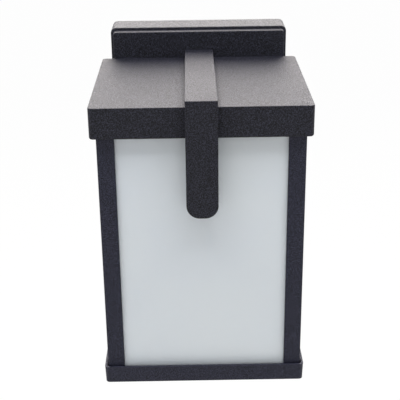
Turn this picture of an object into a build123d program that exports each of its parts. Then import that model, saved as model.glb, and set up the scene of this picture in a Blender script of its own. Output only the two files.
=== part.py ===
"""Outdoor wall lantern: canopy, bent arm, flat roof, glazed cage, drop-off tray and screw-in lamp.

Millimetres, +Z up. The origin is on the wall, in the middle of the canopy, and the lantern stands out
along -Y. A depth is a distance out from the wall, so a point at depth d has Y = -d.
"""

import os

from build123d import *

os.makedirs("parts", exist_ok=True)

# Fits
running_gap = 0.05
through_gap = 0.25
glazing_gap = 0.3
turning_gap = 0.1
cement_gap = 0.2

# Wall canopy and its seal
canopy_width = 150.5
canopy_height = 180.0
canopy_depth = 27.5
canopy_wall = 3.0
canopy_corner = 4.5
canopy_edge = 0.8
core_corner = 1.5
panel_step = 7.4
panel_inset = 2.3
panel_corner = 2.5
gasket_thickness = 1.5
gasket_width = 4.0
gasket_inset = 0.4

# Crossbar that screws to the outlet box
bar_height = 22.0
bar_thickness = 2.0
bar_bend = 1.0
bar_gap = 0.4
slot_spacing = 79.4
slot_length = 20.0
slot_width = 4.8
ear_height = 16.0
ear_length = 16.0
ear_hole_depth = 10.0
ground_screw_x = 17.0

# Roof
roof_width = 165.0
roof_depth = 144.0
roof_skirt = 24.0
roof_drop = 24.6
roof_plate = 2.5
roof_wall = 2.0
roof_corner = 3.0
roof_edge = 0.5
roof_lip = 1.6
boss_radius = 4.5
boss_inset = 30.0
rear_boss_radius = 5.0
rear_boss_length = 3.0
rear_boss_x = 46.0

# Arm strap
strap_width = 24.0
strap_thickness = 6.4
strap_drop = 85.2
strap_end_corner = 10.0
strap_edge = 0.5
strap_screw_bite = 4.4
strap_rear_bite = 9.0
strap_front_screw_drop = 12.5
strap_screw_spread = 70.0

# Cage of angle posts
roof_overhang = 4.6
post_leg = 13.4
post_thickness = 1.5
post_bend = 0.8
body_height = 219.3

# Sheet pan inside the roof, which carries posts and lampholder
pan_thickness = 1.2
pan_cover = 4.9
pan_flange = 12.0
pan_bend = 0.8
wire_hole_radius = 7.0
nipple_notch_width = 20.0

# Sheet ring under the panes
frame_thickness = 1.2
frame_lip = 3.0
seat_cover = 2.1
frame_floor_gap = 1.0
tab_length = 14.0
tab_width = 16.0

# Flush rivets
rivet_radius = 1.5
rivet_head_radius = 2.6
rivet_tail_radius = 2.3
rivet_tail_height = 1.0
rivet_head_angle = 90.0
rivet_inset = 8.0
rivet_top_drop = 5.0
rivet_foot_rise = 4.2

# Panes and their clips
glass_thickness = 3.0
glass_seam = 0.4
rear_sheet = 1.2
clip_width = 12.0
clip_leg = 9.0
clip_foot = 8.0
clip_thickness = 0.8
clip_spacing = 84.0

# Tray
tray_height = 14.5
tray_wall = 1.9
tray_floor = 1.6
tray_rim_gap = 0.85
tray_draft = 2.0
tray_corner = 3.5
tray_edge = 0.6
tray_rim_edge = 0.3
weep_radius = 2.5
weep_inset = 22.0

# Studs and knurled nuts that hold the tray
stud_radius = 2.0
stud_head_radius = 4.0
stud_head_height = 1.6
stud_bite = 6.5
nut_radius = 7.0
nut_height = 9.5
nut_collar_radius = 5.5
nut_collar_height = 1.5
nut_crown = 1.2
nut_bore_depth = 7.5
knurl_count = 30
knurl_depth = 0.6
knurl_turn = 45.0

# Screws
screw_radius = 2.0
screw_head_radius = 3.8
screw_head_height = 2.2
screw_tip = 1.5
screw_head_dome = 0.6

# Hollow wiring stud and its nuts
nipple_radius = 4.0
nipple_bore = 3.0
nipple_nut_flats = 11.0
nipple_nut_height = 3.0
nipple_tail = 2.0

# Lampholder
holder_height = 40.0
holder_radius = 19.0
holder_mouth_radius = 20.5
holder_mouth_height = 7.0
holder_crown = 9.0
holder_round = 2.0
holder_screw_spacing = 26.0
holder_screw_radius = 1.6
holder_screw_head_radius = 3.0
holder_screw_head_height = 1.8
holder_screw_bite = 6.0
holder_lead_radius = 1.5
holder_lead_spacing = 10.0
shell_gap = 0.3
shell_wall = 0.5
shell_seat_gap = 0.1
shell_length = 24.0
shell_hole_radius = 7.0
contact_thickness = 0.6
contact_width = 5.0
contact_length = 10.0
contact_drop = 3.5

# Lamp
lamp_cap_radius = 13.0
lamp_cap_length = 24.0
lamp_cap_wall = 0.6
lamp_cap_cone = 2.0
lamp_tip_radius = 4.8
lamp_tip_height = 1.0
insulator_height = 2.4
insulator_radius = 9.5
globe_radius = 30.0
globe_neck_depth = 5.0
globe_wall = 0.9
globe_blend = 38.0
lamp_length = 108.0

# Depths out from the wall
canopy_rim = gasket_thickness + canopy_depth
panel_face = canopy_rim + panel_step
panel_inside = panel_face - canopy_wall
roof_front = panel_face + roof_depth
roof_middle = panel_face + roof_depth / 2
strap_front = roof_front + strap_thickness
cage_front = roof_front - roof_overhang
cage_rear = panel_face + roof_overhang
cage_depth = cage_front - cage_rear
cage_middle = (cage_front + cage_rear) / 2

# Widths inside the posts
cage_width = roof_width - 2 * roof_overhang
inner_width = cage_width - 2 * post_thickness
inner_depth = cage_depth - 2 * post_thickness
channel = glass_thickness + 2 * glazing_gap

# Heights
roof_z = canopy_height / 2 - roof_drop
roof_under = roof_z - roof_plate
skirt_z = roof_z - roof_skirt
pan_under = skirt_z + pan_cover
pan_top = pan_under + pan_thickness
flange_top = pan_under + pan_flange
wiring_z = (pan_top + roof_under) / 2
tray_rim_z = roof_z - body_height
tray_z = tray_rim_z - tray_height
floor_z = tray_z + tray_floor
seat_z = tray_rim_z - seat_cover
foot_z = floor_z + frame_floor_gap
pane_top = pan_under - glazing_gap
rivet_top_z = flange_top - rivet_top_drop
rivet_foot_z = foot_z + rivet_foot_rise
holder_mouth_z = pan_under - holder_height
bore_top_z = pan_under - holder_crown
lamp_tip_z = bore_top_z - contact_drop - turning_gap
stud_x = inner_width / 2 - frame_thickness - tab_length / 2
screw_hole = screw_radius + through_gap
tapped_hole = screw_radius + running_gap

OUTWARD = (0, -1, 0)
TO_WALL = (0, 1, 0)
UP = (0, 0, 1)
DOWN = (0, 0, -1)
SIDES = (-1, 1)


def seat(x, depth, z, facing):
    """A plane on the lantern at the given place, its normal along facing."""
    return Plane(origin=(x, -depth, z), z_dir=facing)


def pan_head_screw(length, radius=screw_radius, head_radius=screw_head_radius, head_height=screw_head_height):
    """A screw standing on the XY plane: domed head above it, plain shank below."""
    with BuildPart() as screw:
        Cylinder(radius, length, align=(Align.CENTER, Align.CENTER, Align.MAX))
        Cylinder(head_radius, head_height, align=(Align.CENTER, Align.CENTER, Align.MIN))
        fillet(screw.edges().group_by(Axis.Z)[-1], head_height * screw_head_dome)
    return screw.part


def hex_nut(flats, height, hole):
    """A hexagon nut standing on the XY plane."""
    with BuildPart() as nut:
        with BuildSketch():
            RegularPolygon(flats / 2, 6, major_radius=False)
            Circle(hole, mode=Mode.SUBTRACT)
        extrude(amount=height)
    return nut.part


def flush_rivet(grip):
    """A rivet with its flat countersunk head on the XY plane and a formed tail below the grip."""
    head = rivet_head_radius - rivet_radius
    with BuildPart() as rivet:
        with BuildSketch(Plane.XZ):
            with BuildLine():
                Polyline(
                    (0, 0),
                    (rivet_head_radius, 0),
                    (rivet_radius, -head),
                    (rivet_radius, -grip),
                    (rivet_tail_radius, -grip),
                    (rivet_tail_radius, -grip - rivet_tail_height),
                    (0, -grip - rivet_tail_height),
                    close=True,
                )
            make_face()
        revolve(axis=Axis.Z)
    return rivet.part


def rivet_seats(z):
    """Planes on the outer faces of both legs of all four posts, at one height."""
    across = cage_width / 2 - rivet_inset
    seats = []
    for side in SIDES:
        seats.append(seat(side * across, cage_front, z, OUTWARD))
        seats.append(seat(side * across, cage_rear, z, TO_WALL))
        seats.append(seat(side * cage_width / 2, cage_front - rivet_inset, z, (side, 0, 0)))
        seats.append(seat(side * cage_width / 2, cage_rear + rivet_inset, z, (side, 0, 0)))
    return seats


# Places where fasteners sit
roof_screw_seats = [seat(side * rear_boss_x, panel_inside, wiring_z, TO_WALL) for side in SIDES]
canopy_screw_seats = [
    seat(side * canopy_width / 2, ear_hole_depth, 0, (side, 0, 0)) for side in SIDES
]
boss_places = [
    (side * (roof_width / 2 - boss_inset), -(roof_middle + end * (roof_depth / 2 - boss_inset)))
    for side in SIDES
    for end in SIDES
]
strap_top_depths = [roof_middle + end * strap_screw_spread / 2 for end in SIDES]
strap_top_seats = [seat(0, depth, roof_under, DOWN) for depth in strap_top_depths]
strap_front_seat = seat(0, roof_front - roof_wall, roof_z - strap_front_screw_drop, TO_WALL)
strap_rear_seat = seat(0, panel_inside, roof_z + strap_thickness / 2, TO_WALL)
nipple_seat = seat(0, panel_inside, wiring_z, TO_WALL)
holder_screw_places = [(side * holder_screw_spacing / 2, -cage_middle) for side in SIDES]
lead_places = [(0, -cage_middle + side * holder_lead_spacing / 2) for side in SIDES]
stud_places = [(side * stud_x, -cage_middle) for side in SIDES]


# Wall canopy: a cast box with a raised panel on its front, open towards the wall
with BuildPart() as backplate:
    with BuildSketch(Plane.XZ.offset(gasket_thickness)):
        RectangleRounded(canopy_width, canopy_height, canopy_corner)
    extrude(amount=canopy_depth)
    fillet(backplate.faces().sort_by(Axis.Y)[0].edges(), canopy_edge)
    with BuildSketch(Plane.XZ.offset(canopy_rim)):
        RectangleRounded(canopy_width - 2 * panel_inset, canopy_height - 2 * panel_inset, panel_corner)
    extrude(amount=panel_step)
    fillet(backplate.faces().sort_by(Axis.Y)[0].edges(), canopy_edge)
    with BuildSketch(Plane.XZ.offset(gasket_thickness)):
        RectangleRounded(canopy_width - 2 * canopy_wall, canopy_height - 2 * canopy_wall, core_corner)
    extrude(amount=canopy_depth - canopy_wall, mode=Mode.SUBTRACT)
    with BuildSketch(Plane.XZ.offset(canopy_rim - canopy_wall)):
        RectangleRounded(
            canopy_width - 2 * (panel_inset + canopy_wall),
            canopy_height - 2 * (panel_inset + canopy_wall),
            core_corner,
        )
    extrude(amount=panel_step, mode=Mode.SUBTRACT)
    with Locations(*roof_screw_seats, strap_rear_seat):
        Hole(screw_hole, canopy_wall)
    with Locations(nipple_seat):
        Hole(nipple_radius + through_gap, canopy_wall)
    with Locations(*canopy_screw_seats):
        Hole(screw_hole, canopy_wall)
backplate.part.label = "backplate"
export_step(backplate.part, "parts/backplate.step")

# Foam seal between canopy and wall
with BuildPart() as wall_gasket:
    with BuildSketch(Plane.XZ):
        RectangleRounded(canopy_width - 2 * gasket_inset, canopy_height - 2 * gasket_inset, canopy_corner)
        RectangleRounded(
            canopy_width - 2 * (gasket_inset + gasket_width),
            canopy_height - 2 * (gasket_inset + gasket_width),
            core_corner,
            mode=Mode.SUBTRACT,
        )
    extrude(amount=gasket_thickness)
wall_gasket.part.label = "wall_gasket"
export_step(wall_gasket.part, "parts/wall_gasket.step")

# Crossbar: a steel strip with two slots for the outlet box and a folded ear at each end
bar_half = canopy_width / 2 - gasket_inset - gasket_width - bar_gap
with BuildPart() as mounting_crossbar:
    with BuildSketch(Plane.XZ):
        Rectangle(2 * bar_half, bar_height)
    extrude(amount=bar_thickness)
    with BuildSketch(Plane.XZ):
        for side in SIDES:
            with Locations((side * (bar_half - bar_thickness / 2), 0)):
                Rectangle(bar_thickness, ear_height)
    extrude(amount=ear_length)
    ends = mounting_crossbar.edges().filter_by(Axis.Z).group_by(Axis.Y)[-1]
    fillet(ends, bar_bend)
    with BuildSketch(Plane.XZ):
        with GridLocations(slot_spacing, 0, 2, 1):
            SlotOverall(slot_length, slot_width)
        with Locations((ground_screw_x, 0)):
            Circle(tapped_hole)
    extrude(amount=bar_thickness, mode=Mode.SUBTRACT)
    with Locations(*[seat(side * bar_half, ear_hole_depth, 0, (side, 0, 0)) for side in SIDES]):
        Hole(tapped_hole, bar_thickness)
mounting_crossbar.part.label = "mounting_crossbar"
export_step(mounting_crossbar.part, "parts/mounting_crossbar.step")

# Earth screw on the crossbar, its tip flush with the wall side
ground_shank = pan_head_screw(bar_thickness)
with BuildPart() as ground_screw:
    with Locations(seat(ground_screw_x, bar_thickness, 0, OUTWARD)):
        add(ground_shank)
ground_screw.part.label = "ground_screw"
export_step(ground_screw.part, "parts/ground_screw.step")

# Side screws that hold the canopy on the crossbar's ears
canopy_screw_length = canopy_width / 2 - bar_half + bar_thickness + screw_tip
canopy_shank = pan_head_screw(canopy_screw_length)
with BuildPart() as canopy_screws:
    with Locations(*canopy_screw_seats):
        add(canopy_shank)
canopy_screws.part.label = "canopy_screws"
export_step(canopy_screws.part, "parts/canopy_screws.step")

# Roof: a cast cap with a skirt, four bosses for the pan and two for the canopy screws
with BuildPart() as roof:
    with BuildSketch(Plane.XY.offset(skirt_z)):
        with Locations((0, -roof_middle)):
            RectangleRounded(roof_width, roof_depth, roof_corner)
    extrude(amount=roof_skirt)
    fillet(roof.faces().sort_by(Axis.Z)[-1].edges(), roof_edge)
    fillet(roof.faces().sort_by(Axis.Z)[0].edges(), roof_lip)
    with BuildSketch(Plane.XY.offset(skirt_z)):
        with Locations((0, -roof_middle)):
            RectangleRounded(roof_width - 2 * roof_wall, roof_depth - 2 * roof_wall, core_corner)
    extrude(amount=roof_skirt - roof_plate, mode=Mode.SUBTRACT)
    with BuildSketch(Plane.XY.offset(pan_top)):
        with Locations(*boss_places):
            Circle(boss_radius)
    extrude(amount=roof_under - pan_top)
    with BuildSketch(Plane.XZ.offset(panel_face + roof_wall)):
        with Locations(*[(side * rear_boss_x, wiring_z) for side in SIDES]):
            Circle(rear_boss_radius)
    extrude(amount=rear_boss_length)
    with Locations(*[seat(x, -y, pan_top, DOWN) for x, y in boss_places]):
        Hole(tapped_hole, roof_under - pan_top)
    with Locations(*[seat(side * rear_boss_x, panel_face, wiring_z, TO_WALL) for side in SIDES]):
        Hole(tapped_hole, roof_wall + rear_boss_length)
    with Locations(seat(0, panel_face, wiring_z, TO_WALL)):
        Hole(nipple_radius + through_gap, roof_wall)
    with Locations(*strap_top_seats):
        Hole(screw_hole, roof_plate)
    with Locations(strap_front_seat):
        Hole(screw_hole, roof_wall)
roof.part.label = "roof"
export_step(roof.part, "parts/roof.step")

# Arm strap: a flat bar along the roof and down its front, rounded at the lower end
with BuildPart() as arm_strap:
    with BuildSketch(Plane.YZ.offset(-strap_width / 2)):
        with BuildLine():
            Polyline(
                (-panel_face, roof_z),
                (-roof_front, roof_z),
                (-roof_front, roof_z - strap_drop),
                (-strap_front, roof_z - strap_drop),
                (-strap_front, roof_z + strap_thickness),
                (-panel_face, roof_z + strap_thickness),
                close=True,
            )
        make_face()
    extrude(amount=strap_width)
    lower_corners = arm_strap.edges().filter_by(Axis.Y).group_by(Axis.Z)[0]
    fillet(lower_corners, strap_end_corner)
    front_edges = arm_strap.faces().sort_by(Axis.Y)[0].edges()
    top_edges = arm_strap.faces().sort_by(Axis.Z)[-1].edges().filter_by(Axis.Y)
    fillet(front_edges + top_edges, strap_edge)
    with Locations(*[seat(0, depth, roof_z, DOWN) for depth in strap_top_depths]):
        Hole(tapped_hole, strap_screw_bite)
    with Locations(seat(0, roof_front, roof_z - strap_front_screw_drop, TO_WALL)):
        Hole(tapped_hole, strap_screw_bite)
    with Locations(seat(0, panel_face, roof_z + strap_thickness / 2, TO_WALL)):
        Hole(tapped_hole, strap_rear_bite)
arm_strap.part.label = "arm_strap"
export_step(arm_strap.part, "parts/arm_strap.step")

# Screws that hold the strap: two up through the roof, one through its skirt, one through the canopy
strap_top_screw = pan_head_screw(roof_plate + strap_screw_bite)
strap_front_screw = pan_head_screw(roof_wall + strap_screw_bite)
strap_rear_screw = pan_head_screw(canopy_wall + strap_rear_bite)
with BuildPart() as strap_screws:
    with Locations(*strap_top_seats):
        add(strap_top_screw)
    with Locations(strap_front_seat):
        add(strap_front_screw)
    with Locations(strap_rear_seat):
        add(strap_rear_screw)
strap_screws.part.label = "strap_screws"
export_step(strap_screws.part, "parts/strap_screws.step")

# Screws from inside the canopy into the roof's rear bosses
roof_screw = pan_head_screw(canopy_wall + roof_wall + rear_boss_length)
with BuildPart() as roof_screws:
    with Locations(*roof_screw_seats):
        add(roof_screw)
roof_screws.part.label = "roof_screws"
export_step(roof_screws.part, "parts/roof_screws.step")

# Hollow stud for the supply leads, with a nut inside the canopy and one inside the roof
nipple_start = panel_inside - nipple_nut_height - nipple_tail
nipple_end = panel_face + roof_wall + nipple_nut_height + nipple_tail
with BuildPart() as wire_nipple:
    with BuildSketch(Plane.XZ.offset(nipple_start)):
        with Locations((0, wiring_z)):
            Circle(nipple_radius)
            Circle(nipple_bore, mode=Mode.SUBTRACT)
    extrude(amount=nipple_end - nipple_start)
wire_nipple.part.label = "wire_nipple"
export_step(wire_nipple.part, "parts/wire_nipple.step")

nipple_nut = hex_nut(nipple_nut_flats, nipple_nut_height, nipple_radius + running_gap)
with BuildPart() as nipple_nuts:
    with Locations(nipple_seat, seat(0, panel_face + roof_wall, wiring_z, OUTWARD)):
        add(nipple_nut)
nipple_nuts.part.label = "nipple_nuts"
export_step(nipple_nuts.part, "parts/nipple_nuts.step")

# Top pan: sheet with its edges turned up against the posts
with BuildPart() as top_pan:
    with BuildSketch(Plane.XY.offset(pan_under)):
        with Locations((0, -cage_middle)):
            Rectangle(inner_width, inner_depth)
    extrude(amount=pan_flange)
    fillet(top_pan.faces().sort_by(Axis.Z)[0].edges(), pan_bend)
    with BuildSketch(Plane.XY.offset(pan_top)):
        with Locations((0, -cage_middle)):
            Rectangle(inner_width - 2 * pan_thickness, inner_depth - 2 * pan_thickness)
    extrude(amount=pan_flange, mode=Mode.SUBTRACT)
    with BuildSketch(Plane.XZ.offset(cage_rear + post_thickness)):
        with Locations((0, pan_top)):
            Rectangle(nipple_notch_width, pan_flange, align=(Align.CENTER, Align.MIN))
    extrude(amount=pan_thickness, mode=Mode.SUBTRACT)
    with Locations(*[seat(x, -y, pan_top, UP) for x, y in boss_places]):
        Hole(screw_hole, pan_thickness)
    with Locations(*[seat(x, -y, pan_top, UP) for x, y in holder_screw_places]):
        Hole(holder_screw_radius + through_gap, pan_thickness)
    with Locations(seat(0, cage_middle, pan_top, UP)):
        Hole(wire_hole_radius, pan_thickness)
    with Locations(*rivet_seats(rivet_top_z)):
        Hole(rivet_radius + running_gap, post_thickness + pan_thickness)
top_pan.part.label = "top_pan"
export_step(top_pan.part, "parts/top_pan.step")

# Screws up through the pan into the roof's bosses
pan_screw_length = pan_thickness + (roof_under - pan_top) - screw_tip
pan_screw = pan_head_screw(pan_screw_length)
with BuildPart() as pan_screws:
    with Locations(*[seat(x, -y, pan_under, DOWN) for x, y in boss_places]):
        add(pan_screw)
pan_screws.part.label = "pan_screws"
export_step(pan_screws.part, "parts/pan_screws.step")

# Corner posts: folded angle, pierced and countersunk for the rivets
post_names = {
    (-1, 1): "front_left_post",
    (1, 1): "front_right_post",
    (-1, -1): "rear_left_post",
    (1, -1): "rear_right_post",
}
for (side, end), post_name in post_names.items():
    corner_x = side * cage_width / 2
    corner_y = -cage_middle - end * cage_depth / 2
    inward = (Align.MAX if side > 0 else Align.MIN, Align.MIN if end > 0 else Align.MAX)
    with BuildPart() as post:
        with BuildSketch(Plane.XY.offset(foot_z)):
            with Locations((corner_x, corner_y)):
                Rectangle(post_leg, post_leg, align=inward)
            with Locations((corner_x - side * post_thickness, corner_y + end * post_thickness)):
                Rectangle(post_leg, post_leg, align=inward, mode=Mode.SUBTRACT)
        extrude(amount=flange_top - foot_z)
        upright = post.edges().filter_by(Axis.Z)
        fillet(upright.sort_by_distance((corner_x, corner_y, (flange_top + foot_z) / 2))[0], post_bend)
        with Locations(*rivet_seats(rivet_top_z), *rivet_seats(rivet_foot_z)):
            CounterSinkHole(
                rivet_radius + running_gap,
                rivet_head_radius + running_gap,
                post_thickness,
                counter_sink_angle=rivet_head_angle,
            )
    post.part.label = post_name
    export_step(post.part, f"parts/{post_name}.step")

# Flush rivets at both ends of every post
top_rivet = flush_rivet(post_thickness + pan_thickness)
foot_rivet = flush_rivet(post_thickness + frame_thickness)
with BuildPart() as cage_rivets:
    with Locations(*rivet_seats(rivet_top_z)):
        add(top_rivet)
    with Locations(*rivet_seats(rivet_foot_z)):
        add(foot_rivet)
cage_rivets.part.label = "cage_rivets"
export_step(cage_rivets.part, "parts/cage_rivets.step")

# Bottom frame: a sheet ring with a skirt inside the posts, a seat for the panes, a lip and two tabs
opening_width = inner_width - 2 * (channel + frame_thickness)
opening_depth = inner_depth - 2 * (channel + frame_thickness)
with BuildPart() as bottom_frame:
    with BuildSketch(Plane.XY.offset(foot_z)):
        with Locations((0, -cage_middle)):
            Rectangle(inner_width, inner_depth)
            Rectangle(inner_width - 2 * frame_thickness, inner_depth - 2 * frame_thickness, mode=Mode.SUBTRACT)
    extrude(amount=seat_z - foot_z)
    with BuildSketch(Plane.XY.offset(seat_z - frame_thickness)):
        with Locations((0, -cage_middle)):
            Rectangle(inner_width, inner_depth)
            Rectangle(opening_width, opening_depth, mode=Mode.SUBTRACT)
    extrude(amount=frame_thickness)
    with BuildSketch(Plane.XY.offset(seat_z)):
        with Locations((0, -cage_middle)):
            Rectangle(opening_width + 2 * frame_thickness, opening_depth + 2 * frame_thickness)
            Rectangle(opening_width, opening_depth, mode=Mode.SUBTRACT)
    extrude(amount=frame_lip)
    with BuildSketch(Plane.XY.offset(foot_z)):
        for side in SIDES:
            with Locations((side * (inner_width / 2 - frame_thickness / 2), -cage_middle)):
                near = Align.MAX if side > 0 else Align.MIN
                Rectangle(tab_length + frame_thickness / 2, tab_width, align=(near, Align.CENTER))
    extrude(amount=frame_thickness)
    with Locations(*[seat(x, -y, foot_z, DOWN) for x, y in stud_places]):
        Hole(stud_radius + running_gap, frame_thickness)
    with Locations(*rivet_seats(rivet_foot_z)):
        Hole(rivet_radius + running_gap, post_thickness + frame_thickness)
bottom_frame.part.label = "bottom_frame"
export_step(bottom_frame.part, "parts/bottom_frame.step")

# Panes stand in the ring's channel behind the posts, the side panes between front pane and rear panel
pane_height = pane_top - seat_z
pane_z = (pane_top + seat_z) / 2
front_pane = cage_front - post_thickness - glazing_gap - glass_thickness / 2
rear_pane = cage_rear + post_thickness + glazing_gap + glass_thickness / 2
side_pane = inner_width / 2 - glazing_gap - glass_thickness / 2
side_pane_depth = front_pane - rear_pane - glass_thickness - 2 * glazing_gap
front_pane_width = inner_width - 2 * glazing_gap

with BuildPart() as front_glass:
    with Locations((0, -front_pane, pane_z)):
        Box(front_pane_width, glass_thickness, pane_height)
    chamfer(front_glass.edges(), glass_seam)
front_glass.part.label = "front_glass"
export_step(front_glass.part, "parts/front_glass.step")

for side, pane_name in zip(SIDES, ("left_glass", "right_glass")):
    with BuildPart() as side_glass:
        with Locations((side * side_pane, -cage_middle, pane_z)):
            Box(glass_thickness, side_pane_depth, pane_height)
        chamfer(side_glass.edges(), glass_seam)
    side_glass.part.label = pane_name
    export_step(side_glass.part, f"parts/{pane_name}.step")

# Rear panel: sheet with folded edges as deep as the glass is thick, open towards the lamp
with BuildPart() as rear_panel:
    with Locations((0, -rear_pane, pane_z)):
        Box(front_pane_width, glass_thickness, pane_height)
    rear_front_face = rear_panel.faces().sort_by(Axis.Y)[0]
    offset(amount=-rear_sheet, openings=rear_front_face)
rear_panel.part.label = "rear_panel"
export_step(rear_panel.part, "parts/rear_panel.step")

# Spring clips under the pan, two behind each pane
clip_seats = [
    seat(0, front_pane - glass_thickness / 2, pan_under, TO_WALL),
    seat(0, rear_pane + glass_thickness / 2, pan_under, OUTWARD),
    seat(-side_pane + glass_thickness / 2, cage_middle, pan_under, (1, 0, 0)),
    seat(side_pane - glass_thickness / 2, cage_middle, pan_under, (-1, 0, 0)),
]
with BuildPart() as glass_clips:
    for clip_seat in clip_seats:
        inward = clip_seat.z_dir
        upright = Plane(origin=clip_seat.origin, x_dir=Vector(UP).cross(inward), z_dir=inward)
        with Locations(upright):
            with GridLocations(clip_spacing, 0, 2, 1):
                Box(clip_width, clip_leg, clip_thickness, align=(Align.CENTER, Align.MAX, Align.MIN))
                Box(clip_width, clip_thickness, clip_foot, align=(Align.CENTER, Align.MAX, Align.MIN))
glass_clips.part.label = "glass_clips"
export_step(glass_clips.part, "parts/glass_clips.step")

# Tray: a drafted pan whose rim stands outside the posts, with weep holes at its corners
tray_width = cage_width + 2 * (tray_rim_gap + tray_wall)
tray_depth = cage_depth + 2 * (tray_rim_gap + tray_wall)
with BuildPart() as tray:
    with BuildSketch(Plane.XY.offset(tray_rim_z)):
        with Locations((0, -cage_middle)):
            RectangleRounded(tray_width, tray_depth, tray_corner)
    extrude(amount=-tray_height, taper=tray_draft)
    fillet(tray.faces().sort_by(Axis.Z)[0].edges(), tray_edge)
    with BuildSketch(Plane.XY.offset(tray_rim_z)):
        with Locations((0, -cage_middle)):
            RectangleRounded(tray_width - 2 * tray_wall, tray_depth - 2 * tray_wall, core_corner)
    extrude(amount=-(tray_height - tray_floor), taper=tray_draft, mode=Mode.SUBTRACT)
    fillet(tray.faces().sort_by(Axis.Z)[-1].edges(), tray_rim_edge)
    with BuildSketch(Plane.XY.offset(tray_z)):
        with Locations((0, -cage_middle)):
            with GridLocations(tray_width - 2 * weep_inset, tray_depth - 2 * weep_inset, 2, 2):
                Circle(weep_radius)
        with Locations(*stud_places):
            Circle(stud_radius + through_gap)
    extrude(amount=tray_floor, mode=Mode.SUBTRACT)
tray.part.label = "tray"
export_step(tray.part, "parts/tray.step")

# Studs clinched into the ring's tabs, reaching down through the tray
stud_length = foot_z - tray_z + stud_bite
with BuildPart() as tray_studs:
    with Locations(*[seat(x, -y, foot_z + frame_thickness, UP) for x, y in stud_places]):
        Cylinder(stud_head_radius, stud_head_height, align=(Align.CENTER, Align.CENTER, Align.MIN))
        Cylinder(
            stud_radius,
            stud_length + frame_thickness,
            align=(Align.CENTER, Align.CENTER, Align.MAX),
        )
tray_studs.part.label = "tray_studs"
export_step(tray_studs.part, "parts/tray_studs.step")

# Knurled nuts under the tray: a round collar, a straight-knurled head and a crowned end
nut_top = tray_z - turning_gap
for (stud_place_x, stud_place_y), nut_name in zip(stud_places, ("left_thumb_nut", "right_thumb_nut")):
    with BuildPart() as thumb_nut:
        with BuildSketch(Plane.XY.offset(nut_top)):
            with Locations((stud_place_x, stud_place_y)):
                Circle(nut_collar_radius)
        extrude(amount=-nut_collar_height)
        with BuildSketch(Plane.XY.offset(nut_top - nut_collar_height)):
            with Locations((stud_place_x, stud_place_y)):
                Circle(nut_radius)
        extrude(amount=-(nut_height - nut_collar_height))
        chamfer(thumb_nut.edges().group_by(Axis.Z)[0], nut_crown)
        with BuildSketch(Plane.XY.offset(nut_top - nut_collar_height)):
            with Locations((stud_place_x, stud_place_y)):
                with PolarLocations(nut_radius, knurl_count):
                    Rectangle(knurl_depth * 2, knurl_depth * 2, rotation=knurl_turn)
        extrude(amount=-(nut_height - nut_collar_height), mode=Mode.SUBTRACT)
        with Locations((stud_place_x, stud_place_y, nut_top)):
            Hole(stud_radius + running_gap, nut_bore_depth)
    thumb_nut.part.label = nut_name
    export_step(thumb_nut.part, f"parts/{nut_name}.step")

# Lampholder: glazed ceramic body hanging under the pan, open downwards
holder_bore = lamp_cap_radius + shell_gap + shell_wall + shell_seat_gap
with BuildPart() as lampholder:
    with BuildSketch(Plane.XY.offset(holder_mouth_z)):
        with Locations((0, -cage_middle)):
            Circle(holder_radius)
    extrude(amount=holder_height)
    with BuildSketch(Plane.XY.offset(holder_mouth_z)):
        with Locations((0, -cage_middle)):
            Circle(holder_mouth_radius)
    extrude(amount=holder_mouth_height)
    fillet(lampholder.edges().group_by(Axis.Z)[-1], holder_round)
    fillet(lampholder.edges().group_by(Axis.Z)[0], holder_round)
    with BuildSketch(Plane.XY.offset(holder_mouth_z)):
        with Locations((0, -cage_middle)):
            Circle(holder_bore)
    extrude(amount=holder_height - holder_crown, mode=Mode.SUBTRACT)
    with Locations(*[seat(x, -y, pan_under, UP) for x, y in holder_screw_places]):
        Hole(holder_screw_radius + running_gap, holder_screw_bite)
    with Locations(*[seat(x, -y, pan_under, UP) for x, y in lead_places]):
        Hole(holder_lead_radius, holder_crown)
lampholder.part.label = "lampholder"
export_step(lampholder.part, "parts/lampholder.step")

holder_screw = pan_head_screw(
    pan_thickness + holder_screw_bite,
    holder_screw_radius,
    holder_screw_head_radius,
    holder_screw_head_height,
)
with BuildPart() as lampholder_screws:
    with Locations(*[seat(x, -y, pan_top, UP) for x, y in holder_screw_places]):
        add(holder_screw)
lampholder_screws.part.label = "lampholder_screws"
export_step(lampholder_screws.part, "parts/lampholder_screws.step")

# Screw shell: a thin cup against the top of the holder's bore
shell_radius = lamp_cap_radius + shell_gap + shell_wall
with BuildPart() as screw_shell:
    with BuildSketch(Plane.XY.offset(bore_top_z)):
        with Locations((0, -cage_middle)):
            Circle(shell_radius)
    extrude(amount=-shell_length)
    with BuildSketch(Plane.XY.offset(bore_top_z - shell_wall)):
        with Locations((0, -cage_middle)):
            Circle(shell_radius - shell_wall)
    extrude(amount=-shell_length, mode=Mode.SUBTRACT)
    with BuildSketch(Plane.XY.offset(bore_top_z)):
        with Locations((0, -cage_middle)):
            Circle(shell_hole_radius)
    extrude(amount=-shell_wall, mode=Mode.SUBTRACT)
screw_shell.part.label = "screw_shell"
export_step(screw_shell.part, "parts/screw_shell.step")

# Centre contact: a folded brass leaf above the lamp's tip
with BuildPart() as centre_contact:
    with BuildSketch(Plane.XZ.offset(cage_middle - contact_width / 2)):
        with Locations((0, bore_top_z)):
            Rectangle(contact_length, contact_thickness, align=(Align.CENTER, Align.MAX))
        with Locations((-contact_length / 2, bore_top_z)):
            Rectangle(contact_thickness, contact_drop, align=(Align.MIN, Align.MAX))
        with Locations((-contact_length / 2, bore_top_z - contact_drop)):
            Rectangle(contact_length - contact_thickness, contact_thickness, align=(Align.MIN, Align.MIN))
    extrude(amount=contact_width)
centre_contact.part.label = "centre_contact"
export_step(centre_contact.part, "parts/centre_contact.step")

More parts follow.
